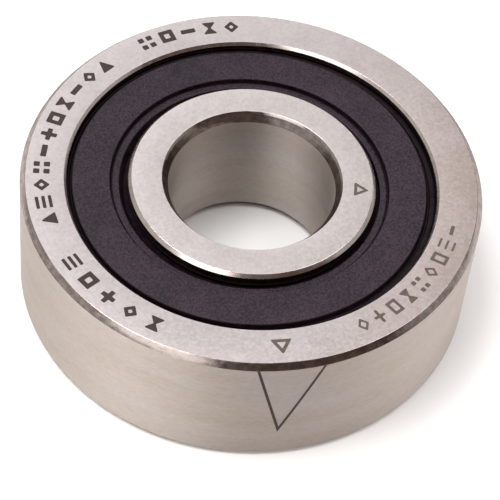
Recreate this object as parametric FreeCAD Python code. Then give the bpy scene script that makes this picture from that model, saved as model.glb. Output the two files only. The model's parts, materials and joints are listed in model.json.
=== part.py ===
"""Sealed angular contact ball bearing, 8 mm bore x 22 mm outside diameter x 7 mm width.

The origin is on the bearing's axis at mid-width, and +Z is along the axis, towards the marked face.
Each ring is drawn as one half section, in (radius, height, fillet) corners, and turned about the axis.
The load line runs from the inner ring's lower shoulder up to the outer ring's upper one. The outer
ring's lower shoulder is relieved, so that the balls and their cage can be put in from below.
"""
import FreeCAD, Part
import math
import os

# ---- driving dimensions, in millimetres and degrees ----
BORE_RADIUS = 4.0
OUTSIDE_RADIUS = 11.0
WIDTH = 7.0
PITCH_RADIUS = 7.5
BALL_RADIUS = 1.9845                 # a 5/32 inch ball
BALL_COUNT = 9
CONTACT_ANGLE = 15.0
OUTER_CONFORMITY = 0.525             # raceway's radius in section, over the ball's diameter
INNER_CONFORMITY = 0.515
RUNNING_GAP = 0.015                  # left between balls and raceways

# corner chamfers, as (radial, axial)
OUTSIDE_CHAMFER = (0.25, 0.29)
BORE_CHAMFER = (0.31, 0.51)
RIM_CHAMFER = (0.12, 0.15)           # outer ring, around the mouth over each seal
SHOULDER_CHAMFER = (0.165, 0.165)    # inner ring, at the outer edge of each face

# outer ring
OUTER_LAND_RADIUS = 8.62             # the full shoulder, which also guides the cage
RELIEVED_LAND_RADIUS = 9.47          # just inside the raceway's bottom, so that the balls snap in
TOP_MOUTH_RADIUS = 8.81
BOTTOM_MOUTH_RADIUS = 9.50           # the balls pass through here at assembly
LAND_STEP_HEIGHT = -0.10             # the two lands meet inside the raceway
SEAL_GROOVE_DEPTH = 0.37             # from the mouth out to the groove's bottom
SEAL_SEAT_HEIGHT = 2.45
SEAL_GROOVE_TOP = 2.86
MOUTH_LIP_HEIGHT = 3.02

# inner ring
INNER_LAND_RADIUS = 6.05             # the shoulders on both sides of the raceway
INNER_RIM_RADIUS = 5.90              # between the face and the lip's groove
LIP_GROOVE_RADIUS = 5.72
LIP_GROOVE_TOP = 2.85
LIP_GROOVE_BOTTOM = 2.26
LIP_GROOVE_SLOPE = 0.10

# cage
CAGE_INNER_RADIUS = 7.02
CAGE_OUTER_RADIUS = 8.50
CAGE_HALF_WIDTH = 2.50
CAGE_CHAMFER = 0.15
POCKET_CLEARANCE = 0.085

# steel washer inside each seal
WASHER_INNER_RADIUS = 6.62
WASHER_TOP = 2.84
WASHER_UNDERSIDE = 2.62
WASHER_RIM_WIDTH = 0.24              # the outer edge, turned down into the bead
WASHER_OVERLAP = 0.02                # how far that edge is outside the mouth's radius
BEAD_FLOOR = 0.04                    # rubber between the washer's rim and its seat

# seal rubber: outer bead, flat face, dark groove on each side of the face, ridge and lip
BEAD_GAP = 0.02                      # between the bead and the groove's bottom
FACE_HEIGHT = 3.23
FACE_INNER_RADIUS = 6.66
FACE_SETBACK = 0.36                  # from the mouth in to the face's outer edge
OUTER_MOAT = (0.05, 0.11, 2.94)      # start and end, out from the face's edge, and height
BEAD_CROWN = (0.17, 0.06, 3.04)      # start, out from the face's edge; end, in from the mouth; height
BEAD_NECK = (0.01, 2.97)             # in from the mouth, and height
BEAD_SHOULDER = (0.03, 2.96)         # out from the mouth, and height, under the mouth's lip
BEAD_TOP = 2.81                      # of the part of the bead that fills the groove
BEAD_TOE = 0.04                      # from the land out to where the bead sits down
INNER_MOAT = (6.57, 6.62, 2.96)      # inner radius, outer radius, height
RIDGE = (6.23, 6.53, 3.02)           # the same for the ridge beside it
LIP_ROOT_RADIUS = 6.42
LIP_WAIST = (6.12, 2.69)             # radius, height
LIP_TIP_RADIUS = 5.79
LIP_TIP_TOP = 2.64
LIP_TIP_BOTTOM = 2.42
LIP_TIP_CHAMFER = (0.04, 0.05)
LIP_TIP_DRAFT = 0.02

# fillets, from the sharpest to the roundest
TIP_FILLET = 0.015
TIGHT_FILLET = 0.02
RIM_FILLET = 0.03
MOUTH_FILLET = 0.04
GROOVE_FILLET = 0.05
FACE_FILLET = 0.06                   # where a face meets its large chamfer
BEAD_FILLET = 0.08
OUTSIDE_FILLET = 0.10                # where the outside diameter meets its chamfer
BORE_FILLET = 0.12                   # where the bore meets its chamfer
WASHER_BEND = 0.12

HALF_WIDTH = WIDTH / 2
AXIS = FreeCAD.Vector(0, 0, 1)
ORIGIN = FreeCAD.Vector(0, 0, 0)


def in_section(radius, height):
    """A point of the half section, which lies in the XZ plane."""
    return FreeCAD.Vector(radius, 0, height)


def section_wire(corners):
    """A closed wire through the corners, with a tangent arc at each one that has a fillet."""
    points = [in_section(radius, height) for radius, height, _ in corners]
    pieces = []
    for i, (_, _, fillet) in enumerate(corners):
        here = points[i]
        if not fillet:
            pieces.append((here, here, None))
            continue
        to_before = (points[i - 1] - here).normalize()
        to_after = (points[(i + 1) % len(points)] - here).normalize()
        half_angle = to_before.getAngle(to_after) / 2
        setback = fillet / math.tan(half_angle)
        sagitta = fillet / math.sin(half_angle) - fillet
        start = here + to_before * setback
        end = here + to_after * setback
        middle = here + (to_before + to_after).normalize() * sagitta
        pieces.append((start, end, Part.Arc(start, middle, end).toShape()))
    edges = []
    for i, (start, end, arc) in enumerate(pieces):
        if arc:
            edges.append(arc)
        next_start = pieces[(i + 1) % len(pieces)][0]
        edges.append(Part.LineSegment(end, next_start).toShape())
    return Part.Wire(edges)


def turned(corners):
    """The solid made by turning a half section about the bearing's axis."""
    return Part.Face(section_wire(corners)).revolve(ORIGIN, AXIS, 360)


def mirrored(corners):
    """The same half section on the other side of mid-width."""
    return [(radius, -height, fillet) for radius, height, fillet in reversed(corners)]


def raceway_cutter(conformity, side):
    """The torus that cuts a raceway; side is +1 for the outer ring and -1 for the inner ring.

    Its section is set back from the ball's centre along the load line, so that the ball bears
    at the contact angle.
    """
    groove_radius = conformity * 2 * BALL_RADIUS
    setback = side * (groove_radius - BALL_RADIUS)
    angle = math.radians(CONTACT_ANGLE)
    ring_radius = PITCH_RADIUS - setback * math.cos(angle)
    centre = in_section(0, -setback * math.sin(angle))
    return Part.makeTorus(ring_radius, groove_radius + RUNNING_GAP, centre, AXIS)


def outer_ring_mouth(mouth_radius, land_radius):
    """The upper part of the outer ring's inside, from the land beside the raceway up to the face."""
    groove_bottom = mouth_radius + SEAL_GROOVE_DEPTH
    rim_radial, rim_axial = RIM_CHAMFER
    return [
        (land_radius, SEAL_SEAT_HEIGHT, GROOVE_FILLET),
        (groove_bottom, SEAL_SEAT_HEIGHT, GROOVE_FILLET),
        (groove_bottom, SEAL_GROOVE_TOP, GROOVE_FILLET),
        (mouth_radius, MOUTH_LIP_HEIGHT, MOUTH_FILLET),
        (mouth_radius, HALF_WIDTH - rim_axial, MOUTH_FILLET),
        (mouth_radius + rim_radial, HALF_WIDTH, 0),
    ]


def outer_ring():
    radial, axial = OUTSIDE_CHAMFER
    upper_outside = [
        (OUTSIDE_RADIUS - radial, HALF_WIDTH, FACE_FILLET),
        (OUTSIDE_RADIUS, HALF_WIDTH - axial, OUTSIDE_FILLET),
    ]
    lower_inside = mirrored(outer_ring_mouth(BOTTOM_MOUTH_RADIUS, RELIEVED_LAND_RADIUS))
    land_step = [(RELIEVED_LAND_RADIUS, LAND_STEP_HEIGHT, 0), (OUTER_LAND_RADIUS, LAND_STEP_HEIGHT, 0)]
    upper_inside = outer_ring_mouth(TOP_MOUTH_RADIUS, OUTER_LAND_RADIUS)
    outline = lower_inside + land_step + upper_inside + upper_outside + mirrored(upper_outside)
    return turned(outline).cut(raceway_cutter(OUTER_CONFORMITY, 1))


def inner_ring():
    bore_radial, bore_axial = BORE_CHAMFER
    shoulder_radial, shoulder_axial = SHOULDER_CHAMFER
    upper_bore = [
        (BORE_RADIUS, HALF_WIDTH - bore_axial, BORE_FILLET),
        (BORE_RADIUS + bore_radial, HALF_WIDTH, FACE_FILLET),
    ]
    upper_outside = [
        (INNER_RIM_RADIUS - shoulder_radial, HALF_WIDTH, RIM_FILLET),
        (INNER_RIM_RADIUS, HALF_WIDTH - shoulder_axial, RIM_FILLET),
        (INNER_RIM_RADIUS, LIP_GROOVE_TOP, RIM_FILLET),
        (LIP_GROOVE_RADIUS, LIP_GROOVE_TOP - LIP_GROOVE_SLOPE, RIM_FILLET),
        (LIP_GROOVE_RADIUS, LIP_GROOVE_BOTTOM + LIP_GROOVE_SLOPE, RIM_FILLET),
        (INNER_LAND_RADIUS, LIP_GROOVE_BOTTOM, RIM_FILLET),
    ]
    outline = upper_bore + upper_outside + mirrored(upper_outside) + mirrored(upper_bore)
    return turned(outline).cut(raceway_cutter(INNER_CONFORMITY, -1))


def ball_angles():
    return [360.0 * i / BALL_COUNT for i in range(BALL_COUNT)]


def outward(angle, distance):
    """A point at mid-width, at this angle and distance from the axis."""
    turn = math.radians(angle)
    return FreeCAD.Vector(distance * math.cos(turn), distance * math.sin(turn), 0)


def ball(angle):
    return Part.makeSphere(BALL_RADIUS, outward(angle, PITCH_RADIUS), AXIS)


def cage():
    """A plain machined ring with one radial hole for each ball."""
    upper = [
        (CAGE_INNER_RADIUS, CAGE_HALF_WIDTH - CAGE_CHAMFER, 0),
        (CAGE_INNER_RADIUS + CAGE_CHAMFER, CAGE_HALF_WIDTH, 0),
        (CAGE_OUTER_RADIUS - CAGE_CHAMFER, CAGE_HALF_WIDTH, 0),
        (CAGE_OUTER_RADIUS, CAGE_HALF_WIDTH - CAGE_CHAMFER, 0),
    ]
    ring = turned(upper + mirrored(upper))
    overrun = 1.0
    pocket_length = CAGE_OUTER_RADIUS - CAGE_INNER_RADIUS + 2 * overrun
    for angle in ball_angles():
        start = outward(angle, CAGE_INNER_RADIUS - overrun)
        pocket = Part.makeCylinder(BALL_RADIUS + POCKET_CLEARANCE, pocket_length, start, start)
        ring = ring.cut(pocket)
    return ring


def washer_rim(mouth_radius):
    """Inner and outer radius of the washer's turned-down edge, and the height of its lower end."""
    outer_radius = mouth_radius + WASHER_OVERLAP
    return outer_radius - WASHER_RIM_WIDTH, outer_radius, SEAL_SEAT_HEIGHT + BEAD_FLOOR


def washer_section(mouth_radius):
    rim_inner, rim_outer, rim_bottom = washer_rim(mouth_radius)
    return [
        (WASHER_INNER_RADIUS, WASHER_UNDERSIDE, 0),
        (rim_inner, WASHER_UNDERSIDE, 0),
        (rim_inner, rim_bottom, 0),
        (rim_outer, rim_bottom, 0),
        (rim_outer, WASHER_TOP, WASHER_BEND),
        (WASHER_INNER_RADIUS, WASHER_TOP, 0),
    ]


def rubber_section(mouth_radius, land_radius):
    """The rubber's half section, drawn over the washer, which is cut out of it afterwards."""
    rim_inner, _, rim_bottom = washer_rim(mouth_radius)
    moat_inner, moat_outer, moat_height = INNER_MOAT
    ridge_inner, ridge_outer, ridge_height = RIDGE
    outer_moat_start, outer_moat_end, outer_moat_height = OUTER_MOAT
    crown_start, crown_end, crown_height = BEAD_CROWN
    neck_inset, neck_height = BEAD_NECK
    shoulder_offset, shoulder_height = BEAD_SHOULDER
    tip_radial, tip_axial = LIP_TIP_CHAMFER
    face_radius = mouth_radius - FACE_SETBACK
    bead_radius = mouth_radius + SEAL_GROOVE_DEPTH - BEAD_GAP
    lip = [
        (LIP_ROOT_RADIUS, WASHER_UNDERSIDE, GROOVE_FILLET),
        (LIP_TIP_RADIUS + tip_radial, LIP_TIP_BOTTOM, TIP_FILLET),
        (LIP_TIP_RADIUS, LIP_TIP_BOTTOM + tip_axial, TIP_FILLET),
        (LIP_TIP_RADIUS + LIP_TIP_DRAFT, LIP_TIP_TOP, MOUTH_FILLET),
        (*LIP_WAIST, BEAD_FILLET),
        (ridge_inner, ridge_height, GROOVE_FILLET),
        (ridge_outer, ridge_height, GROOVE_FILLET),
        (moat_inner, moat_height, TIGHT_FILLET),
        (moat_outer, moat_height, TIGHT_FILLET),
    ]
    face = [
        (FACE_INNER_RADIUS, FACE_HEIGHT, GROOVE_FILLET),
        (face_radius, FACE_HEIGHT, GROOVE_FILLET),
        (face_radius + outer_moat_start, outer_moat_height, TIGHT_FILLET),
        (face_radius + outer_moat_end, outer_moat_height, TIGHT_FILLET),
    ]
    bead = [
        (face_radius + crown_start, crown_height, MOUTH_FILLET),
        (mouth_radius - crown_end, crown_height, GROOVE_FILLET),
        (mouth_radius - neck_inset, neck_height, TIGHT_FILLET),
        (mouth_radius + shoulder_offset, shoulder_height, 0),
        (bead_radius, BEAD_TOP, BEAD_FILLET),
        (bead_radius, SEAL_SEAT_HEIGHT, BEAD_FILLET),
        (land_radius + BEAD_TOE, SEAL_SEAT_HEIGHT, 0),
        (land_radius, rim_bottom, 0),
    ]
    under_washer = [(rim_inner, rim_bottom, 0), (rim_inner, WASHER_UNDERSIDE, 0)]
    return lip + face + bead + under_washer


def seal(mouth_radius, land_radius, placed):
    """Rubber and steel washer of one seal; placed says on which side, and is a change of section."""
    washer = turned(placed(washer_section(mouth_radius)))
    rubber = turned(placed(rubber_section(mouth_radius, land_radius))).cut(washer)
    return rubber, washer


def as_drawn(corners):
    return corners


def main():
    top_rubber, top_washer = seal(TOP_MOUTH_RADIUS, OUTER_LAND_RADIUS, as_drawn)
    bottom_rubber, bottom_washer = seal(BOTTOM_MOUTH_RADIUS, RELIEVED_LAND_RADIUS, mirrored)
    nodes = {
        "outer_ring": outer_ring(),
        "inner_ring": inner_ring(),
        "cage": cage(),
        "seal_top_rubber": top_rubber,
        "seal_top_insert": top_washer,
        "seal_bottom_rubber": bottom_rubber,
        "seal_bottom_insert": bottom_washer,
    }
    for number, angle in enumerate(ball_angles(), start=1):
        nodes[f"ball_{number}"] = ball(angle)
    os.makedirs("parts", exist_ok=True)
    for name, shape in nodes.items():
        solid = shape.Solids[0]
        print(name, len(shape.Solids), "solid, valid", solid.isValid(), round(solid.Volume, 3), "mm3")
        solid.exportStep(f"parts/{name}.step")


main()
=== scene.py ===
"""Sealed angular contact bearing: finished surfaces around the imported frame.

Sections are drawn in millimetres, as (radius, height, fillet, finish) corners, and turned about +Z.
A finish is the material of the surface from that corner to the next. Pieces are scaled to metres once
they are whole.
"""
import bpy
import bmesh
import json
import math
from mathutils import Matrix, Vector

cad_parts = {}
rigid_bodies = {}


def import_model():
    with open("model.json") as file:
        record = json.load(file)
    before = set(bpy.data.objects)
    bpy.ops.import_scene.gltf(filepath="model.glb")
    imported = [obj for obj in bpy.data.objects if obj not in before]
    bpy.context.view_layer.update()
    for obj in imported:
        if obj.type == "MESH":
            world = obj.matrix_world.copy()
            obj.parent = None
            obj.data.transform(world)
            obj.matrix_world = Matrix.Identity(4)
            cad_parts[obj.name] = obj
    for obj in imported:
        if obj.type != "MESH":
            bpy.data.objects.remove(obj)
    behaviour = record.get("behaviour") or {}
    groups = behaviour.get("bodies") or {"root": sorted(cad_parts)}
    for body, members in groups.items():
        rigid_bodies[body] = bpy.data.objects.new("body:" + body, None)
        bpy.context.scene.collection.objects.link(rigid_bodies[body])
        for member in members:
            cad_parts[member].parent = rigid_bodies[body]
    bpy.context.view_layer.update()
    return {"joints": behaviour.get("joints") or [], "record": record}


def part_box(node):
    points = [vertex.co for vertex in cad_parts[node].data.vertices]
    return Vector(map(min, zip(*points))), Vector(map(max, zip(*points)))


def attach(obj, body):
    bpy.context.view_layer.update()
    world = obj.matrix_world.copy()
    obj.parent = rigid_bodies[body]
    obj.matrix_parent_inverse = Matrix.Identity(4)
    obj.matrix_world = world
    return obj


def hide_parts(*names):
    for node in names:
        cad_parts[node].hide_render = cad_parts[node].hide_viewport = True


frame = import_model()

MM = 0.001
TURN = 2 * math.pi


# ---- driving dimensions, in millimetres ----

def in_mm(point):
    return Vector(point) / MM


OUTSIDE_RADIUS = in_mm(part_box("outer_ring")[1]).x
HALF_WIDTH = in_mm(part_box("outer_ring")[1]).z
CAGE_HALF_WIDTH = in_mm(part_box("cage")[1]).z
BORE_RADIUS = next(m["dims"]["r_mm"] for m in frame["record"]["mounts"] if m["name"] == "bore")
PITCH_RADIUS = 7.5
BALL_RADIUS = 1.9845
CONTACT_ANGLE = math.radians(15)
RUNNING_GAP = 0.015
OUTER_CONFORMITY = 0.525
INNER_CONFORMITY = 0.515

OUTSIDE_CHAMFER = (0.25, 0.29)
BORE_CHAMFER = (0.31, 0.48)
BORE_KNEE = (0.71, 0.24)            # where the bore's chamfer bends, as shares of its two sides
RIM_CHAMFER = (0.12, 0.15)
SHOULDER_CHAMFER = (0.165, 0.165)

OUTER_LAND_RADIUS = 8.62
RELIEVED_LAND_RADIUS = 9.47
TOP_MOUTH_RADIUS = 8.81
BOTTOM_MOUTH_RADIUS = 9.50
SEAL_GROOVE_DEPTH = 0.37
SEAL_SEAT_HEIGHT = 2.45
SEAL_GROOVE_TOP = 2.86
MOUTH_LIP_HEIGHT = 3.02

INNER_LAND_RADIUS = 6.05
INNER_RIM_RADIUS = 5.90
LIP_GROOVE_RADIUS = 5.72
LIP_GROOVE_TOP = 2.85
LIP_GROOVE_BOTTOM = 2.26
LIP_GROOVE_SLOPE = 0.10

CAGE_INNER_RADIUS = 7.02
CAGE_OUTER_RADIUS = 8.50
CAGE_CHAMFER = 0.15
POCKET_RADIUS = BALL_RADIUS + 0.085
POCKET_CUT_LENGTH = 3

WASHER_INNER_RADIUS = 6.62
WASHER_TOP = 2.84
WASHER_UNDERSIDE = 2.62
WASHER_RIM_WIDTH = 0.24
WASHER_OVERLAP = 0.02
BEAD_FLOOR = 0.04

BEAD_GAP = 0.02
FACE_HEIGHT = 3.23
FACE_INNER_RADIUS = 6.66
FACE_SETBACK = 0.36
OUTER_MOAT = (0.05, 0.11, 2.94)     # its two edges beyond the face, and its height
INNER_MOAT = (6.57, 6.62, 2.96)
RIDGE = (6.23, 6.53, 3.02)
LIP_ROOT_RADIUS = 6.42
LIP_WAIST = (6.12, 2.69)
LIP_TIP_RADIUS = 5.79
LIP_TIP_TOP = 2.64
LIP_TIP_BOTTOM = 2.42
LIP_TIP_CHAMFER = (0.04, 0.05)
LIP_TIP_DRAFT = 0.02
BEAD_CROWN = (0.17, 0.06, 3.04)     # beyond the face, short of the mouth, and its height
BEAD_NECK = (0.01, MOUTH_LIP_HEIGHT - 0.05)
BEAD_SHOULDER = (0.03, MOUTH_LIP_HEIGHT - 0.06)
BEAD_TOP = SEAL_GROOVE_TOP - 0.05
BEAD_TOE = 0.04
SEAL_OFFSET = 0.11
SEAL_HELD_WIDTH = 0.04              # the part of the face that the mouth holds in place

# fillets, from the sharpest to the roundest
TIP_FILLET = 0.015
TIGHT_FILLET = 0.02
WALL_FILLET = 0.025
RIM_FILLET = 0.03
CHAMFER_FILLET = 0.04
GROOVE_FILLET = 0.05
BEAD_FILLET = 0.08
KNEE_FILLET = 0.10
WASHER_BEND = 0.12

SEGMENTS = 480
CAGE_SEGMENTS = 360
POCKET_SEGMENTS = 96
BALL_DIVISIONS = 23
SHARP_ANGLE = math.radians(32)


# ---- materials ----

class Shader:
    """A new material with a Principled surface, and short ways to add and link nodes."""

    def __init__(self, name, **surface):
        self.material = bpy.data.materials.new(name)
        self.material.use_nodes = True
        self.tree = self.material.node_tree
        self.surface = self.tree.nodes["Principled BSDF"]
        for socket, value in surface.items():
            self.surface.inputs[socket.replace("_", " ")].default_value = value

    def node(self, kind, settings=None, **inputs):
        made = self.tree.nodes.new(kind)
        for key, value in (settings or {}).items():
            setattr(made, key, value)
        for key, value in inputs.items():
            self.feed(made.inputs[key.replace("_", " ")], value)
        return made

    def feed(self, socket, value):
        if isinstance(value, bpy.types.NodeSocket):
            self.tree.links.new(value, socket)
        else:
            socket.default_value = value

    def place(self, stretch=(1, 1, 1), shift=(0, 0, 0)):
        """The point on the piece in millimetres, stretched along its axes and shifted."""
        coordinates = self.node("ShaderNodeTexCoord").outputs["Object"]
        scale = [s / MM for s in stretch]
        placed = self.node("ShaderNodeMapping", Vector=coordinates, Scale=scale, Location=shift)
        return placed.outputs["Vector"]

    def noise(self, place, size, detail=3.0, roughness=0.55, distortion=0.0):
        """Noise from 0 to 1, whose features are about this many millimetres across."""
        return self.node("ShaderNodeTexNoise", Vector=place, Scale=1 / size, Detail=detail,
                         Roughness=roughness, Distortion=distortion).outputs["Fac"]

    def remap(self, value, low, high, to_low, to_high):
        return self.node("ShaderNodeMapRange", Value=value, From_Min=low, From_Max=high,
                         To_Min=to_low, To_Max=to_high).outputs["Result"]

    def ramp(self, value, low_colour, high_colour, low=0.3, high=0.7):
        """A colour between the two as value goes from low to high."""
        made = self.node("ShaderNodeValToRGB", Fac=value)
        ends = made.color_ramp.elements
        ends[0].position, ends[1].position = low, high
        ends[0].color, ends[1].color = (*low_colour, 1), (*high_colour, 1)
        return made.outputs["Color"]

    def tinted(self, colour, tint, amount=1.0):
        """The colour multiplied by the tint."""
        mix = self.node("ShaderNodeMix", {"data_type": "RGBA", "blend_type": "MULTIPLY"})
        self.feed(mix.inputs["Factor"], amount)
        self.feed(mix.inputs[6], colour)
        self.feed(mix.inputs[7], tint)
        return mix.outputs[2]

    def math(self, operation, first, second):
        made = self.node("ShaderNodeMath", {"operation": operation})
        self.feed(made.inputs[0], first)
        self.feed(made.inputs[1], second)
        return made.outputs["Value"]

    def bump(self, height, depth, under=None):
        """A normal from height, whose range of 1 is this many millimetres deep."""
        made = self.node("ShaderNodeBump", Height=height, Distance=depth * MM, Strength=1.0)
        if under is not None:
            self.feed(made.inputs["Normal"], under)
        return made.outputs["Normal"]

    def finish(self, **links):
        for socket, value in links.items():
            self.feed(self.surface.inputs[socket.replace("_", " ")], value)
        return self.material


PAINTED_SHADE_TINT = (0.89, 0.83, 0.77)          # the warm, darker tint of painted shade on the +X side of the outer ring's faces


def lapped_face(name, tint, painted_shade=0.0):
    """The rings' end faces: fine, slightly cloudy grinding, with painted shade, a warm and darker tint,
    towards +X by the amount given.
    """
    s = Shader(name, Metallic=1.0)
    grain = s.noise(s.place(), 0.15, detail=3, roughness=0.6)
    cloud = s.noise(s.place(), 1.7, detail=3)
    tone = s.math("ADD", s.math("MULTIPLY", grain, 0.65), s.math("MULTIPLY", cloud, 0.35))
    dark = tuple(0.86 * c for c in tint)
    colour = s.ramp(tone, dark, tint, 0.36, 0.62)
    # painted shade: a gradient across the face, with broad patches mixed in, makes it warmer and darker
    # towards +X
    slope = s.place((0.045, 0.045, 0.045), (0.5, 0, 0))
    across = s.node("ShaderNodeTexGradient", Vector=slope).outputs["Fac"]
    patches = s.noise(s.place(), 5.0, detail=2)
    stain_and_shade = s.math("ADD", s.math("MULTIPLY", across, 0.7), s.math("MULTIPLY", patches, 0.3))
    colour = s.tinted(colour, s.ramp(stain_and_shade, (1.0, 1.0, 1.0), PAINTED_SHADE_TINT, 0.62, 0.88), painted_shade)
    roughness = s.remap(grain, 0.3, 0.7, 0.30, 0.38)
    return s.finish(Base_Color=colour, Roughness=roughness, Normal=s.bump(grain, 0.002))


def ground_wall(name, tint):
    """The outside diameter and the bore: grinding lines around the ring, and faint random discolouring.
    """
    s = Shader(name, Metallic=1.0, Anisotropic=0.9, Anisotropic_Rotation=0.25)
    lines = s.noise(s.place((0.02, 0.02, 1)), 0.07, detail=3, roughness=0.6)
    bands = s.noise(s.place((0.06, 0.06, 1)), 0.9, detail=2)
    grain = s.noise(s.place((0.5, 0.5, 1)), 0.15, detail=2)
    stain_and_shade = s.noise(s.place((0.6, 0.6, 1)), 2.4, detail=3)
    tone = s.math("ADD", s.math("MULTIPLY", lines, 0.35), s.math("MULTIPLY", bands, 0.3))
    tone = s.math("ADD", tone, s.math("MULTIPLY", grain, 0.35))
    dark = (0.84 * tint[0], 0.82 * tint[1], 0.79 * tint[2])
    clean = s.ramp(tone, dark, tint, 0.36, 0.64)
    colour = s.tinted(clean, s.ramp(stain_and_shade, (0.97, 0.945, 0.90), (1.0, 1.0, 1.0), 0.35, 0.65))
    roughness = s.remap(lines, 0.3, 0.7, 0.50, 0.60)
    around = s.node("ShaderNodeTangent", {"direction_type": "RADIAL", "axis": "Z"}).outputs["Tangent"]
    normal = s.bump(lines, 0.002)
    return s.finish(Base_Color=colour, Roughness=roughness, Normal=normal, Tangent=around)


def turned_edge(name, dark, light, low, high, depth, grazing=1.0):
    """Chamfers, mouths and grooves: turned and tumbled, with soft uneven flecks."""
    s = Shader(name, Metallic=1.0, Specular_Tint=(grazing, grazing, grazing, 1))
    flecks = s.noise(s.place(), 0.30, detail=2, roughness=0.5)
    lines = s.noise(s.place((0.1, 0.1, 1)), 0.10, detail=2)
    height = s.math("ADD", s.math("MULTIPLY", flecks, 0.6), s.math("MULTIPLY", lines, 0.4))
    colour = s.ramp(height, dark, light, 0.35, 0.65)
    roughness = s.remap(flecks, 0.3, 0.7, low, high)
    return s.finish(Base_Color=colour, Roughness=roughness, Normal=s.bump(height, depth))


def polished_steel(name, tint, low, high):
    """Superfinished raceways and balls."""
    s = Shader(name, Metallic=1.0)
    swirl = s.noise(s.place(), 0.5, detail=4, roughness=0.6, distortion=0.8)
    dark = tuple(0.93 * c for c in tint)
    colour = s.ramp(swirl, dark, tint, 0.35, 0.65)
    roughness = s.remap(swirl, 0.3, 0.7, low, high)
    return s.finish(Base_Color=colour, Roughness=roughness, Normal=s.bump(swirl, 0.0008))


def pressed_steel():
    """The seals' washers: cold-rolled sheet with a faint bluish cast."""
    s = Shader("pressed_steel", Metallic=1.0)
    grain = s.noise(s.place((1, 0.2, 1)), 0.12, detail=4)
    cloud = s.noise(s.place(), 1.3, detail=3)
    colour = s.ramp(cloud, (0.42, 0.43, 0.45), (0.56, 0.57, 0.58), 0.3, 0.7)
    roughness = s.remap(grain, 0.3, 0.7, 0.30, 0.46)
    return s.finish(Base_Color=colour, Roughness=roughness, Normal=s.bump(grain, 0.003))


def seal_rubber():
    """Nitrile rubber from a spark-eroded mould: matte, nearly black, with a fine even grain."""
    s = Shader("seal_rubber", Specular_IOR_Level=0.26)
    grain = s.noise(s.place(), 0.10, detail=2, roughness=0.5)
    bloom = s.noise(s.place(), 1.9, detail=3)
    tone = s.math("ADD", s.math("MULTIPLY", grain, 0.8), s.math("MULTIPLY", bloom, 0.2))
    colour = s.ramp(tone, (0.002, 0.0008, 0.002), (0.031, 0.0165, 0.0275), 0.39, 0.61)
    roughness = s.remap(grain, 0.3, 0.7, 0.50, 0.68)
    return s.finish(Base_Color=colour, Roughness=roughness, Normal=s.bump(grain, 0.03))


def oiled_rubber():
    """The lip, the moat and the bead, down in their gaps: the same rubber, near-black and a little
    smoother, as painted shade.
    """
    s = Shader("oiled_rubber", Specular_IOR_Level=0.10)
    shade_mottle = s.noise(s.place(), 0.35, detail=2)
    colour = s.ramp(shade_mottle, (0.004, 0.0015, 0.0028), (0.010, 0.005, 0.0075))
    roughness = s.remap(shade_mottle, 0.3, 0.7, 0.42, 0.60)
    return s.finish(Base_Color=colour, Roughness=roughness, Normal=s.bump(shade_mottle, 0.004))


def phenolic():
    """Machined cotton-cloth laminate: brown, and mottled where the cloth shows."""
    s = Shader("cage_phenolic", Specular_IOR_Level=0.5)
    warp = s.noise(s.place((1, 1, 0.25)), 0.16, detail=3)
    weft = s.noise(s.place((0.25, 0.25, 1)), 0.16, detail=3)
    weave = s.math("MULTIPLY", warp, weft)
    colour = s.ramp(weave, (0.20, 0.095, 0.038), (0.42, 0.235, 0.105), 0.14, 0.36)
    roughness = s.remap(weave, 0.12, 0.38, 0.62, 0.42)
    return s.finish(Base_Color=colour, Roughness=roughness, Normal=s.bump(weave, 0.012))


def laser_oxide(name, light, dark):
    """The dark oxide that a marking laser leaves."""
    s = Shader(name, Metallic=0.35, Specular_IOR_Level=0.3)
    mottle = s.noise(s.place(), 0.10, detail=4, roughness=0.7)
    colour = s.ramp(mottle, dark, light, 0.35, 0.65)
    roughness = s.remap(mottle, 0.3, 0.7, 0.55, 0.75)
    return s.finish(Base_Color=colour, Roughness=roughness, Normal=s.bump(mottle, 0.004))


FINISHES = {
    "face": lapped_face("inner_ring_face", (0.626, 0.571, 0.558)),
    # the outer ring's faces, with painted shade towards +X
    "outer_face": lapped_face("outer_ring_face", (0.594, 0.538, 0.530), 1.0),
    "wall": ground_wall("outside_wall", (0.520, 0.473, 0.450)),
    "bore": ground_wall("bore_wall", (0.435, 0.394, 0.372)),
    "edge": turned_edge("turned_edge", (0.56, 0.505, 0.475), (0.67, 0.61, 0.585),
                        0.20, 0.26, 0.0014),
    "corner": turned_edge("dark_corner", (0.29, 0.245, 0.225), (0.46, 0.41, 0.39),
                          0.16, 0.26, 0.002, 0.45),
    # darker steel on the grooves, mouth walls and lands down in the gaps
    "groove": turned_edge("oiled_groove", (0.20, 0.150, 0.125), (0.31, 0.250, 0.220),
                          0.20, 0.28, 0.002),
    "race": polished_steel("raceway_steel", (0.62, 0.60, 0.58), 0.10, 0.18),
    "ball": polished_steel("ball_steel", (0.70, 0.70, 0.71), 0.04, 0.09),
    "sheet": pressed_steel(),
    "rubber": seal_rubber(),
    # near-black rubber: painted shade in the seal's gaps
    "oiled": oiled_rubber(),
    "cage": phenolic(),
    "mark": laser_oxide("laser_mark", (0.054, 0.036, 0.032), (0.028, 0.018, 0.016)),
    "fine_mark": laser_oxide("laser_mark_fine", (0.120, 0.094, 0.078), (0.072, 0.057, 0.048)),
}


# ---- sections and turned meshes ----

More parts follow.
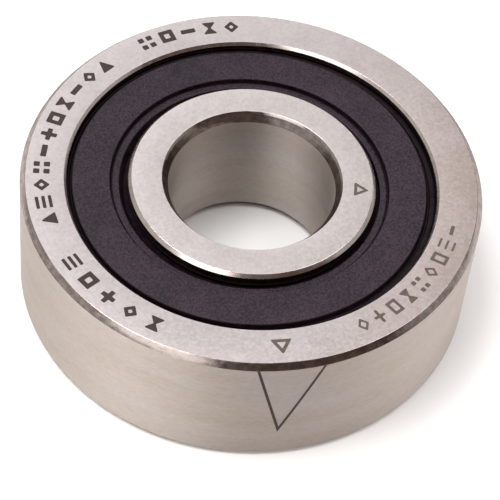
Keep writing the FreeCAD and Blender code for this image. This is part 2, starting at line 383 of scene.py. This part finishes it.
def rounded(corners, steps=5):
    """The corners' outline as (x, y, finish) points, with an arc of this many steps at each fillet."""
    points = []
    for i, (x, y, fillet, finish) in enumerate(corners):
        here = Vector((x, y))
        before = Vector(corners[i - 1][:2]) - here
        after = Vector(corners[(i + 1) % len(corners)][:2]) - here
        if not fillet:
            points.append((x, y, finish))
            continue
        half_angle = before.angle(after) / 2
        middle = (before.normalized() + after.normalized()).normalized()
        centre = here + middle * fillet / math.sin(half_angle)
        start = here + before.normalized() * fillet / math.tan(half_angle) - centre
        sweep = start.angle_signed(here + after.normalized() * fillet / math.tan(half_angle) - centre)
        for k in range(steps + 1):
            spoke = start.copy()
            spoke.rotate(Matrix.Rotation(-sweep * k / steps, 2))
            points.append((*(centre + spoke), finish))
    return points


def mirrored(corners, last):
    """The corners on the other side of mid-width; last is the finish after the last of them."""
    flipped = []
    for i in range(len(corners) - 1, -1, -1):
        radius, height, fillet, _ = corners[i]
        finish = corners[i - 1][3] if i else last
        flipped.append((radius, -height, fillet, finish))
    return flipped


def turned(name, outline, segments=SEGMENTS):
    """An object made by turning the closed outline about +Z, still in millimetres.

    Where a piece has the edge finish, that is its first material, which cuts take too.
    """
    finishes = sorted({finish for _, _, finish in outline})
    finishes.sort(key=lambda finish: finish != "edge")
    count = len(outline)
    vertices = []
    for k in range(segments):
        angle = TURN * k / segments
        vertices += [(r * math.cos(angle), r * math.sin(angle), z) for r, z, _ in outline]
    faces = []
    for k in range(segments):
        here, there = k * count, (k + 1) % segments * count
        for i in range(count):
            j = (i + 1) % count
            faces.append((here + i, there + i, there + j, here + j))
    mesh = bpy.data.meshes.new(name)
    mesh.from_pydata(vertices, [], faces)
    for finish in finishes:
        mesh.materials.append(FINISHES[finish])
    slots = [finishes.index(finish) for _, _, finish in outline]
    mesh.polygons.foreach_set("material_index", slots * segments)
    face_outwards(mesh)
    return linked(name, mesh)


def linked(name, mesh):
    made = bpy.data.objects.new(name, mesh)
    bpy.context.scene.collection.objects.link(made)
    return made


def face_outwards(mesh):
    work = bmesh.new()
    work.from_mesh(mesh)
    bmesh.ops.recalc_face_normals(work, faces=work.faces)
    work.to_mesh(mesh)
    work.free()


def cut_away(target, cutter):
    """Cuts the cutter's shape out of the target, and removes the cutter."""
    modifier = target.modifiers.new("cut", "BOOLEAN")
    modifier.operation = "DIFFERENCE"
    modifier.solver = "EXACT"
    modifier.object = cutter
    bpy.context.view_layer.update()
    cut = target.evaluated_get(bpy.context.evaluated_depsgraph_get())
    mesh = bpy.data.meshes.new_from_object(cut)
    target.modifiers.clear()
    before = target.data
    target.data = mesh
    bpy.data.meshes.remove(before)
    bpy.data.objects.remove(cutter)


def completed(piece, body, slot, *nodes):
    """Scales the piece to metres, smooths its curved faces, and puts it in the frame."""
    piece.data.transform(Matrix.Scale(MM, 4))
    piece.data.shade_smooth()
    piece.data.set_sharp_from_angle(angle=SHARP_ANGLE)
    weighted = piece.modifiers.new("even_normals", "WEIGHTED_NORMAL")
    weighted.keep_sharp = True
    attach(piece, body)
    if nodes:
        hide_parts(*nodes)
    return piece


# ---- rings ----

def raceway(conformity, side, lower_land, upper_land, steps=40):
    """The raceway's corners from the lower land up to the upper one.

    The side is +1 for the outer ring and -1 for the inner one.
    """
    radius = conformity * 2 * BALL_RADIUS
    setback = side * (radius - BALL_RADIUS)
    centre = Vector((PITCH_RADIUS - setback * math.cos(CONTACT_ANGLE),
                     -setback * math.sin(CONTACT_ANGLE)))
    radius += RUNNING_GAP
    start = -math.acos(abs(lower_land - centre.x) / radius)
    end = math.acos(abs(upper_land - centre.x) / radius)
    corners = []
    for k in range(steps + 1):
        angle = start + (end - start) * k / steps
        r = centre.x + side * radius * math.cos(angle)
        z = centre.y + radius * math.sin(angle)
        corners.append((r, z, 0, "race" if k < steps else "groove"))
    return corners


def outer_ring_mouth(mouth_radius, land_radius):
    groove_bottom = mouth_radius + SEAL_GROOVE_DEPTH
    rim_radial, rim_axial = RIM_CHAMFER
    return [
        (land_radius, SEAL_SEAT_HEIGHT, GROOVE_FILLET, "groove"),
        (groove_bottom, SEAL_SEAT_HEIGHT, GROOVE_FILLET, "groove"),
        (groove_bottom, SEAL_GROOVE_TOP, GROOVE_FILLET, "groove"),
        (mouth_radius, MOUTH_LIP_HEIGHT, CHAMFER_FILLET, "groove"),
        (mouth_radius, HALF_WIDTH - rim_axial, CHAMFER_FILLET, "edge"),
        (mouth_radius + rim_radial, HALF_WIDTH, TIGHT_FILLET, "outer_face"),
    ]


def outer_ring_outside(finish):
    radial, axial = OUTSIDE_CHAMFER
    return [
        (OUTSIDE_RADIUS - radial, HALF_WIDTH, CHAMFER_FILLET, finish),
        (OUTSIDE_RADIUS, HALF_WIDTH - axial, WALL_FILLET, "wall"),
    ]


def outer_ring():
    upper_outside = outer_ring_outside("corner")
    # the lower outside chamfer takes the lighter edge colour, unlike the upper one: painted light,
    # standing in for the bright floor it reflects
    lower_outside = mirrored(outer_ring_outside("edge"), "outer_face")
    lower_inside = mirrored(outer_ring_mouth(BOTTOM_MOUTH_RADIUS, RELIEVED_LAND_RADIUS), "groove")
    race = raceway(OUTER_CONFORMITY, 1, RELIEVED_LAND_RADIUS, OUTER_LAND_RADIUS)
    upper_inside = outer_ring_mouth(TOP_MOUTH_RADIUS, OUTER_LAND_RADIUS)
    corners = lower_inside + race + upper_inside + upper_outside + lower_outside
    return turned("outer_ring_steel", rounded(corners))


def inner_ring():
    bore_radial, bore_axial = BORE_CHAMFER
    knee_radial, knee_axial = BORE_KNEE
    shoulder_radial, shoulder_axial = SHOULDER_CHAMFER
    upper_bore = [
        (BORE_RADIUS, HALF_WIDTH - bore_axial, CHAMFER_FILLET, "corner"),
        (BORE_RADIUS + knee_radial * bore_radial, HALF_WIDTH - knee_axial * bore_axial,
         KNEE_FILLET, "corner"),
        (BORE_RADIUS + bore_radial, HALF_WIDTH, RIM_FILLET, "face"),
    ]
    upper_outside = [
        (INNER_RIM_RADIUS - shoulder_radial, HALF_WIDTH, RIM_FILLET, "edge"),
        (INNER_RIM_RADIUS, HALF_WIDTH - shoulder_axial, RIM_FILLET, "groove"),
        (INNER_RIM_RADIUS, LIP_GROOVE_TOP, RIM_FILLET, "groove"),
        (LIP_GROOVE_RADIUS, LIP_GROOVE_TOP - LIP_GROOVE_SLOPE, RIM_FILLET, "groove"),
        (LIP_GROOVE_RADIUS, LIP_GROOVE_BOTTOM + LIP_GROOVE_SLOPE, RIM_FILLET, "groove"),
        (INNER_LAND_RADIUS, LIP_GROOVE_BOTTOM, RIM_FILLET, "groove"),
    ]
    race = raceway(INNER_CONFORMITY, -1, INNER_LAND_RADIUS, INNER_LAND_RADIUS)
    downward_race = [(r, z, fillet, "groove" if i == 0 else "race")
                     for i, (r, z, fillet, _) in enumerate(race)]
    downward_race.reverse()
    lower_outside = mirrored(upper_outside, "face")
    lower_bore = mirrored(upper_bore, "bore")
    corners = upper_bore + upper_outside + downward_race + lower_outside + lower_bore
    return turned("inner_ring_steel", rounded(corners))


# ---- balls and cage ----

def ball_angles():
    return [joint_angle(joint) for joint in frame["joints"] if joint["parent"] == "cage"]


def joint_angle(joint):
    x, y, _ = joint["pos_m"]
    return math.atan2(y, x)


def ball(number, angle):
    """A sphere of even quads, made from a cube whose faces are divided and blown up."""
    name = f"ball_{number}_steel"
    work = bmesh.new()
    bmesh.ops.create_cube(work, size=2)
    bmesh.ops.subdivide_edges(work, edges=work.edges, cuts=BALL_DIVISIONS, use_grid_fill=True)
    centre = Vector((PITCH_RADIUS * math.cos(angle), PITCH_RADIUS * math.sin(angle), 0))
    for vertex in work.verts:
        evened = Vector([math.tan(c * math.pi / 4) for c in vertex.co])
        vertex.co = centre + evened.normalized() * BALL_RADIUS
    mesh = bpy.data.meshes.new(name)
    work.to_mesh(mesh)
    work.free()
    mesh.materials.append(FINISHES["ball"])
    return linked(name, mesh)


def cage():
    """A turned ring with a round pocket drilled through it for each ball."""
    chamfer = CAGE_CHAMFER
    upper = [
        (CAGE_INNER_RADIUS, CAGE_HALF_WIDTH - chamfer, CHAMFER_FILLET, "cage"),
        (CAGE_INNER_RADIUS + chamfer, CAGE_HALF_WIDTH, CHAMFER_FILLET, "cage"),
        (CAGE_OUTER_RADIUS - chamfer, CAGE_HALF_WIDTH, CHAMFER_FILLET, "cage"),
        (CAGE_OUTER_RADIUS, CAGE_HALF_WIDTH - chamfer, CHAMFER_FILLET, "cage"),
    ]
    outline = rounded(upper + mirrored(upper, "cage"), steps=3)
    ring = turned("cage_phenolic_ring", outline, CAGE_SEGMENTS)
    middle = (CAGE_INNER_RADIUS + CAGE_OUTER_RADIUS) / 2
    outwards = Matrix.Translation((middle, 0, 0)) @ Matrix.Rotation(math.pi / 2, 4, "Y")
    for angle in ball_angles():
        work = bmesh.new()
        bmesh.ops.create_cone(work, cap_ends=True, segments=POCKET_SEGMENTS, radius1=POCKET_RADIUS,
                              radius2=POCKET_RADIUS, depth=POCKET_CUT_LENGTH,
                              matrix=Matrix.Rotation(angle, 4, "Z") @ outwards)
        mesh = bpy.data.meshes.new("pocket")
        work.to_mesh(mesh)
        work.free()
        cut_away(ring, linked("pocket", mesh))
    return ring


# ---- seals ----

def washer_rim(mouth_radius):
    outer_radius = mouth_radius + WASHER_OVERLAP
    return outer_radius - WASHER_RIM_WIDTH, outer_radius, SEAL_SEAT_HEIGHT + BEAD_FLOOR


def washer_section(mouth_radius):
    rim_inner, rim_outer, rim_bottom = washer_rim(mouth_radius)
    return [
        (WASHER_INNER_RADIUS, WASHER_UNDERSIDE, TIGHT_FILLET, "sheet"),
        (rim_inner, WASHER_UNDERSIDE, RIM_FILLET, "sheet"),
        (rim_inner, rim_bottom, TIGHT_FILLET, "sheet"),
        (rim_outer, rim_bottom, TIGHT_FILLET, "sheet"),
        (rim_outer, WASHER_TOP, WASHER_BEND, "sheet"),
        (WASHER_INNER_RADIUS, WASHER_TOP, TIGHT_FILLET, "sheet"),
    ]


def rubber_section(mouth_radius, land_radius):
    """The rubber's half section, which goes around the washer."""
    rim_inner, rim_outer, rim_bottom = washer_rim(mouth_radius)
    moat_inner, moat_outer, moat_height = INNER_MOAT
    outer_moat_inner, outer_moat_outer, outer_moat_height = OUTER_MOAT
    ridge_inner, ridge_outer, ridge_height = RIDGE
    crown_start, crown_setback, crown_height = BEAD_CROWN
    neck_setback, neck_height = BEAD_NECK
    shoulder_step, shoulder_height = BEAD_SHOULDER
    tip_radial, tip_axial = LIP_TIP_CHAMFER
    face_radius = mouth_radius - FACE_SETBACK
    bead_radius = mouth_radius + SEAL_GROOVE_DEPTH - BEAD_GAP
    lip = [
        (LIP_ROOT_RADIUS, WASHER_UNDERSIDE, GROOVE_FILLET),
        (LIP_TIP_RADIUS + tip_radial, LIP_TIP_BOTTOM, TIP_FILLET),
        (LIP_TIP_RADIUS, LIP_TIP_BOTTOM + tip_axial, TIP_FILLET),
        (LIP_TIP_RADIUS + LIP_TIP_DRAFT, LIP_TIP_TOP, CHAMFER_FILLET),
        (*LIP_WAIST, BEAD_FILLET),
    ]
    ridge = [
        (ridge_inner, ridge_height, GROOVE_FILLET),
        (ridge_outer, ridge_height, GROOVE_FILLET),
    ]
    moat = [
        (moat_inner, moat_height, TIGHT_FILLET),
        (moat_outer, moat_height, TIGHT_FILLET),
    ]
    face = [
        (FACE_INNER_RADIUS, FACE_HEIGHT, GROOVE_FILLET),
    ]
    bead = [
        (face_radius, FACE_HEIGHT, GROOVE_FILLET),
        (face_radius + outer_moat_inner, outer_moat_height, TIGHT_FILLET),
        (face_radius + outer_moat_outer, outer_moat_height, TIGHT_FILLET),
        (face_radius + crown_start, crown_height, CHAMFER_FILLET),
        (mouth_radius - crown_setback, crown_height, GROOVE_FILLET),
        (mouth_radius - neck_setback, neck_height, TIGHT_FILLET),
        (mouth_radius + shoulder_step, shoulder_height, 0),
        (bead_radius, BEAD_TOP, BEAD_FILLET),
        (bead_radius, SEAL_SEAT_HEIGHT, BEAD_FILLET),
        (land_radius + BEAD_TOE, SEAL_SEAT_HEIGHT, 0),
        (land_radius, rim_bottom, 0),
    ]
    around_washer = [
        (rim_outer, rim_bottom, 0),
        (rim_outer, WASHER_TOP, WASHER_BEND),
        (WASHER_INNER_RADIUS, WASHER_TOP, 0),
        (WASHER_INNER_RADIUS, WASHER_UNDERSIDE, 0),
    ]
    # the lip, the moat, and the bead with the wrap around the washer are laid near-black as painted shade
    # down in the gaps; the ridge and the face stay plain rubber
    oiled = [[(*corner, "oiled") for corner in run] for run in (lip, moat, bead + around_washer)]
    plain = [[(*corner, "rubber") for corner in run] for run in (ridge, face)]
    return oiled[0] + plain[0] + oiled[1] + plain[1] + oiled[2]


def push_aside(rubber):
    """Moves the seal's raised face and ridge towards -X, as pressing it in has left them."""
    for vertex in rubber.data.vertices:
        radius = vertex.co.xy.length
        raised = min(1, max(0, (vertex.co.z - LIP_WAIST[1]) / (RIDGE[2] - LIP_WAIST[1])))
        clear = min(1, max(0, (TOP_MOUTH_RADIUS - SEAL_HELD_WIDTH - radius) / FACE_SETBACK))
        if radius > LIP_WAIST[0]:
            vertex.co.x -= SEAL_OFFSET * raised * min(1, 2 * clear)


def seal(side, mouth_radius, land_radius):
    """The rubber and the washer of one seal; side is top or bottom."""
    rubber = rubber_section(mouth_radius, land_radius)
    washer = washer_section(mouth_radius)
    if side == "bottom":
        rubber = mirrored(rubber, "rubber")
        washer = mirrored(washer, "sheet")
    moulding = turned(f"seal_{side}_rubber_moulding", rounded(rubber))
    if side == "top":
        push_aside(moulding)
    completed(moulding, "outer_ring", "seal_rubber", f"seal_{side}_rubber")
    plate = turned(f"seal_{side}_insert_washer", rounded(washer))
    completed(plate, "outer_ring", "insert_steel", f"seal_{side}_insert")


# ---- marks ----

MARK_DEPTH = 0.016
CUTTER_RISE = 3 * MARK_DEPTH
OXIDE_BOTTOM = -1.5 * MARK_DEPTH
OXIDE_TOP = -0.3 * MARK_DEPTH
MARK_FILLET = 0.05
MARK_CIRCLE_RADIUS = 9.87
MARK_CIRCLE_CENTRE = Vector((-0.12, 0.07))

BOLD = {"height": 0.78, "width": 0.74, "stroke": 0.235}
FINE = {"height": 0.78, "width": 0.57, "stroke": 0.15}

OUTER_TRIANGLE = {"radius": 9.87, "angle": 282.8, "width": 1.00, "height": 0.84, "stroke": 0.165}
INNER_TRIANGLE = {"radius": 5.20, "angle": 0.9, "width": 0.88, "height": 0.72, "stroke": 0.145}
V_MARK = {"left": 276.5, "right": 292.7, "apex": 283.0, "top": 3.30, "bottom": -1.42, "stroke": 0.135}

# each row of marks: the first one's angle, the step clockwise to the next, the style and the shapes
MARK_ROWS = (
    (249.3, 7.45, BOLD, "hourglass lozenge cross frame rungs"),
    (203.6, 6.17, BOLD, "wedge rungs lozenge dots slab cross frame hourglass slab lozenge wedge"),
    (126.4, 6.43, BOLD, "dots frame slab hourglass lozenge"),
    (349.2, 5.34, FINE, "slab rungs frame lozenge dots hourglass frame cross lozenge"),
)


def rectangle(x, y, width, height):
    return [(x - width / 2, y - height / 2), (x + width / 2, y - height / 2),
            (x + width / 2, y + height / 2), (x - width / 2, y + height / 2)]


def shrunk(loop, stroke):
    """The loop of a convex shape moved inwards by the stroke's width."""
    inner = []
    for i, corner in enumerate(loop):
        here = Vector(corner)
        before = (Vector(loop[i - 1]) - here).normalized()
        after = (Vector(loop[(i + 1) % len(loop)]) - here).normalized()
        inward = (before + after).normalized()
        inner.append(tuple(here + inward * stroke / math.sin(before.angle(after) / 2)))
    return inner


def mark_shape(shape, height, width, stroke):
    """The shape's plates, each an outer loop with an inner loop or None, about its own centre."""
    top, side = height / 2, width / 2
    if shape == "frame":
        outline = rectangle(0, 0, width, height)
        return [(outline, shrunk(outline, stroke))]
    if shape == "lozenge":
        outline = [(0, -top), (side, 0), (0, top), (-side, 0)]
        return [(outline, shrunk(outline, 0.75 * stroke))]
    if shape == "cross":
        arm = stroke / 2
        return [([(-arm, -top), (arm, -top), (arm, -arm), (side, -arm), (side, arm), (arm, arm),
                  (arm, top), (-arm, top), (-arm, arm), (-side, arm), (-side, -arm), (-arm, -arm)], None)]
    if shape == "rungs":
        rung = 0.7 * stroke
        return [(rectangle(0, y, width, rung), None) for y in (rung / 2 - top, 0, top - rung / 2)]
    if shape == "dots":
        dot = 0.40 * width
        across, up = side - dot / 2, top - dot / 2
        return [(rectangle(x, y, dot, dot), None) for x in (-across, across) for y in (-up, up)]
    if shape == "hourglass":
        waist = stroke / 4
        return [([(-side, -top), (side, -top), (waist, 0), (side, top), (-side, top), (-waist, 0)], None)]
    if shape == "wedge":
        return [([(-side, -top), (side, -top), (0, top)], None)]
    return [(rectangle(0, 0, width, 1.2 * stroke), None)]


def softened(loop, fillet=MARK_FILLET):
    """The loop with its corners rounded, as a marking beam rounds them."""
    return [(x, y) for x, y, _ in rounded([(x, y, fillet, None) for x, y in loop], steps=3)]


def on_face(centre, radius, angle, face_height):
    """Maps a mark's (x, y, level) to a point on a ring's face; x runs clockwise, y outwards."""
    outward = Vector((math.cos(angle), math.sin(angle)))
    along = Vector((math.sin(angle), -math.cos(angle)))

    def put(x, y, level):
        flat = centre + (radius + y) * outward + x * along
        return (*flat, face_height + level)
    return put


def on_wall(x, y, level):
    """Maps (x, y, level) to the outside diameter; x is the length along it from the +X axis."""
    angle = x / OUTSIDE_RADIUS
    radius = OUTSIDE_RADIUS + level
    return (radius * math.cos(angle), radius * math.sin(angle), y)


def add_plate(work, outer, inner, closed, put, low, high):
    """Adds a plate between two levels, within outer or between the lines outer and inner."""
    rims = [[[work.verts.new(put(x, y, level)) for x, y in loop] for level in (low, high)]
            for loop in (outer, inner) if loop]
    count = len(outer)
    steps = range(count if closed else count - 1)
    for bottom, top in rims:
        for i in steps:
            j = (i + 1) % count
            work.faces.new((bottom[i], bottom[j], top[j], top[i]))
    for level in (0, 1):
        if not inner:
            work.faces.new(rims[0][level])
            continue
        for i in steps:
            j = (i + 1) % count
            work.faces.new((rims[0][level][i], rims[0][level][j],
                            rims[1][level][j], rims[1][level][i]))
    if not closed:
        for i in (0, -1):
            work.faces.new((rims[0][0][i], rims[0][1][i], rims[1][1][i], rims[1][0][i]))


def plates_object(name, plates, low, high):
    work = bmesh.new()
    for outer, inner, closed, put in plates:
        add_plate(work, outer, inner, closed, put, low, high)
    bmesh.ops.recalc_face_normals(work, faces=work.faces)
    mesh = bpy.data.meshes.new(name)
    work.to_mesh(mesh)
    work.free()
    return linked(name, mesh)


def engrave(ring, name, finish, plates):
    """Cuts the marks into the ring and lays dark oxide in them, just below its surface."""
    cut_away(ring, plates_object("cutter", plates, -MARK_DEPTH, CUTTER_RISE))
    oxide = plates_object(name, plates, OXIDE_BOTTOM, OXIDE_TOP)
    oxide.data.materials.append(FINISHES[finish])
    return oxide


def row_plates(first, step, style, shapes):
    plates = []
    for k, shape in enumerate(shapes.split()):
        angle = math.radians(first - k * step)
        put = on_face(MARK_CIRCLE_CENTRE, MARK_CIRCLE_RADIUS, angle, HALF_WIDTH)
        for outer, inner in mark_shape(shape, **style):
            plates.append((softened(outer), inner and softened(inner), True, put))
    return plates


def triangle_plates(radius, angle, width, height, stroke):
    """The outlined triangle that marks a ring's high point; it points outwards."""
    outer = [(-width / 2, -height / 2), (width / 2, -height / 2), (0, height / 2)]
    put = on_face(Vector((0, 0)), radius, math.radians(angle), HALF_WIDTH)
    return [(softened(outer), softened(shrunk(outer, stroke), TIP_FILLET), True, put)]


def v_plates(left, right, apex, top, bottom, stroke, steps=24):
    """The V on the outside that shows the load line; the angles are its two ends' and its point's."""
    ends = [OUTSIDE_RADIUS * math.radians(angle) for angle in (left, right, apex)]
    corners = [Vector((ends[0], top)), Vector((ends[2], bottom)), Vector((ends[1], top))]
    down = (corners[1] - corners[0]).normalized()
    up = (corners[2] - corners[1]).normalized()
    mitre = (up - down).normalized() * stroke / 2 / math.sin(up.angle(-down) / 2)
    rails = []
    for side in (1, -1):
        shifts = [side * stroke / 2 * Vector((-down.y, down.x)), side * mitre,
                  side * stroke / 2 * Vector((-up.y, up.x))]
        points = [corner + shift for corner, shift in zip(corners, shifts)]
        rails.append([tuple(points[leg].lerp(points[leg + 1], k / steps)) for leg in (0, 1)
                      for k in range(steps)] + [tuple(points[2])])
    return [(rails[0], rails[1], False, on_wall)]


# ---- the bearing ----

def build_bearing():
    outer = outer_ring()
    bold = [plate for row in MARK_ROWS if row[2] is BOLD for plate in row_plates(*row)]
    fine = [plate for row in MARK_ROWS if row[2] is FINE for plate in row_plates(*row)]
    oxides = [
        engrave(outer, "outer_ring_marks", "mark", bold),
        engrave(outer, "outer_ring_fine_marks", "fine_mark", fine),
        engrave(outer, "outer_ring_high_point", "fine_mark", triangle_plates(**OUTER_TRIANGLE)),
        engrave(outer, "outer_ring_v_mark", "mark", v_plates(**V_MARK)),
    ]
    for oxide in oxides:
        completed(oxide, "outer_ring", "bearing_steel")
    completed(outer, "outer_ring", "bearing_steel", "outer_ring")

    inner = inner_ring()
    high_point = engrave(inner, "inner_ring_high_point", "fine_mark", triangle_plates(**INNER_TRIANGLE))
    completed(high_point, "inner_ring", "bearing_steel")
    completed(inner, "inner_ring", "bearing_steel", "inner_ring")

    completed(cage(), "cage", "cage_phenolic", "cage")
    for number, angle in enumerate(ball_angles(), start=1):
        completed(ball(number, angle), f"ball_{number}", "ball_steel", f"ball_{number}")
    seal("top", TOP_MOUTH_RADIUS, OUTER_LAND_RADIUS)
    seal("bottom", BOTTOM_MOUTH_RADIUS, RELIEVED_LAND_RADIUS)


build_bearing()


# ---- floor, light and camera ----

FLOOR_HALF = 1.5


def floor():
    """A large pale matte sheet, which the bearing stands on."""
    s = Shader("floor", Roughness=0.9, Specular_IOR_Level=0.2)
    mottle = s.noise(s.place(), 30, detail=2)
    colour = s.ramp(mottle, (0.86, 0.855, 0.85), (0.89, 0.885, 0.88))
    mesh = bpy.data.meshes.new("floor")
    height = -HALF_WIDTH * MM
    corners = [(x, y, height) for x, y in rectangle(0, 0, 2 * FLOOR_HALF, 2 * FLOOR_HALF)]
    mesh.from_pydata(corners, [], [(0, 1, 2, 3)])
    mesh.materials.append(s.finish(Base_Color=colour))
    linked("floor", mesh)


# what stands around the bearing: azimuth, elevation, the angles where it is full and where it ends, and
# its colour; the last is the dark side of the room, low in front and to the right
ROOM = (
    (178, 50, 28, 52, (1.18, 1.175, 1.195)),
    (132, 44, 5, 42, (0.36, 0.32, 0.30)),
    (152, 2, 8, 30, (1.6, 1.6, 1.62)),
    (-166, 6, 14, 40, (1.7, 1.7, 1.72)),
    (-78, 22, 22, 34, (0.62, 0.58, 0.55)),
    (31, 12, 41, 47, (0.11, 0.075, 0.06)),
)


def sky():
    """Even white studio light, brighter overhead, with the room's patches laid over it."""
    world = bpy.data.worlds.new("studio")
    world.use_nodes = True
    bpy.context.scene.world = world
    tree = world.node_tree
    background = tree.nodes["Background"]
    direction = tree.nodes.new("ShaderNodeTexCoord").outputs["Generated"]

    def facing(centre, full, none):
        """1 within the angle full of the centre direction, 0 beyond the angle none, in degrees."""
        dot = tree.nodes.new("ShaderNodeVectorMath")
        dot.operation = "DOT_PRODUCT"
        tree.links.new(direction, dot.inputs[0])
        dot.inputs[1].default_value = centre
        fade = tree.nodes.new("ShaderNodeMapRange")
        fade.interpolation_type = "SMOOTHSTEP"
        fade.inputs["From Min"].default_value = math.cos(math.radians(none))
        fade.inputs["From Max"].default_value = math.cos(math.radians(full))
        tree.links.new(dot.outputs["Value"], fade.inputs["Value"])
        return fade.outputs["Result"]

    def mixed(factor, first, second):
        mix = tree.nodes.new("ShaderNodeMix")
        mix.data_type = "RGBA"
        tree.links.new(factor, mix.inputs["Factor"])
        for socket, colour in ((mix.inputs[6], first), (mix.inputs[7], second)):
            if isinstance(colour, tuple):
                socket.default_value = (*colour, 1)
            else:
                tree.links.new(colour, socket)
        return mix.outputs[2]

    light = mixed(facing((0, 0, 1), 20, 85), (0.48, 0.455, 0.445), (0.66, 0.655, 0.66))
    for azimuth, elevation, full, none, colour in ROOM:
        light = mixed(facing(towards(azimuth, elevation), full, none), light, colour)
    tree.links.new(light, background.inputs["Color"])
    background.inputs["Strength"].default_value = 1.0


def towards(azimuth, elevation):
    """The direction at this azimuth, in degrees from -Y towards +X, and elevation."""
    a, e = math.radians(azimuth), math.radians(elevation)
    return Vector((math.cos(e) * math.sin(a), -math.cos(e) * math.cos(a), math.sin(e)))


# the lights: name, azimuth, elevation, width, height, energy and colour
SOFT_BOXES = (
    ("window", -31, 34, 0.34, 0.20, 0.42, (1.0, 0.975, 0.95)),
    ("overhead", -80, 69, 0.24, 0.24, 1.95, (1.0, 0.99, 0.985)),
    ("fill", 100, 58, 0.36, 0.30, 1.05, (1.0, 0.97, 0.97)),
)
LIGHT_DISTANCE = 0.5


def soft_box(name, azimuth, elevation, width, height, energy, colour):
    """A rectangular light that faces the bearing."""
    light = bpy.data.lights.new(name, "AREA")
    light.shape = "RECTANGLE"
    light.size, light.size_y = width, height
    light.energy = energy
    light.color = colour
    lamp = bpy.data.objects.new(name, light)
    bpy.context.scene.collection.objects.link(lamp)
    direction = towards(azimuth, elevation)
    lamp.location = LIGHT_DISTANCE * direction
    lamp.rotation_euler = direction.to_track_quat("Z", "Y").to_euler()


CAMERA_ELEVATION = math.radians(51.27)
CAMERA_ROLL = math.radians(6.56)
CAMERA_DISTANCE = 109.65
CAMERA_AIM = (0.124, -1.209)        # in millimetres to the right of the origin and up from it
CAMERA_LENS = 162.4


def camera():
    """Looks along +Y and down, turned a little about its own line of sight."""
    elevation, roll, distance = CAMERA_ELEVATION, CAMERA_ROLL, CAMERA_DISTANCE
    forward = -towards(0, math.degrees(elevation))
    level_up = Vector((0, math.sin(elevation), math.cos(elevation)))
    right = Vector((math.cos(roll), 0, 0)) + math.sin(roll) * level_up
    up = math.cos(roll) * level_up - Vector((math.sin(roll), 0, 0))
    aim = CAMERA_AIM[0] * right + CAMERA_AIM[1] * up
    data = bpy.data.cameras.new("camera")
    data.sensor_width = 36
    data.lens = CAMERA_LENS
    data.clip_start = 0.005
    made = bpy.data.objects.new("camera", data)
    turn = Matrix((right, up, -forward)).transposed().to_4x4()
    made.matrix_world = Matrix.Translation((aim - distance * forward) * MM) @ turn
    bpy.context.scene.collection.objects.link(made)
    bpy.context.scene.camera = made


floor()
sky()
for light in SOFT_BOXES:
    soft_box(*light)
camera()
bpy.context.scene.view_settings.view_transform = "Standard"
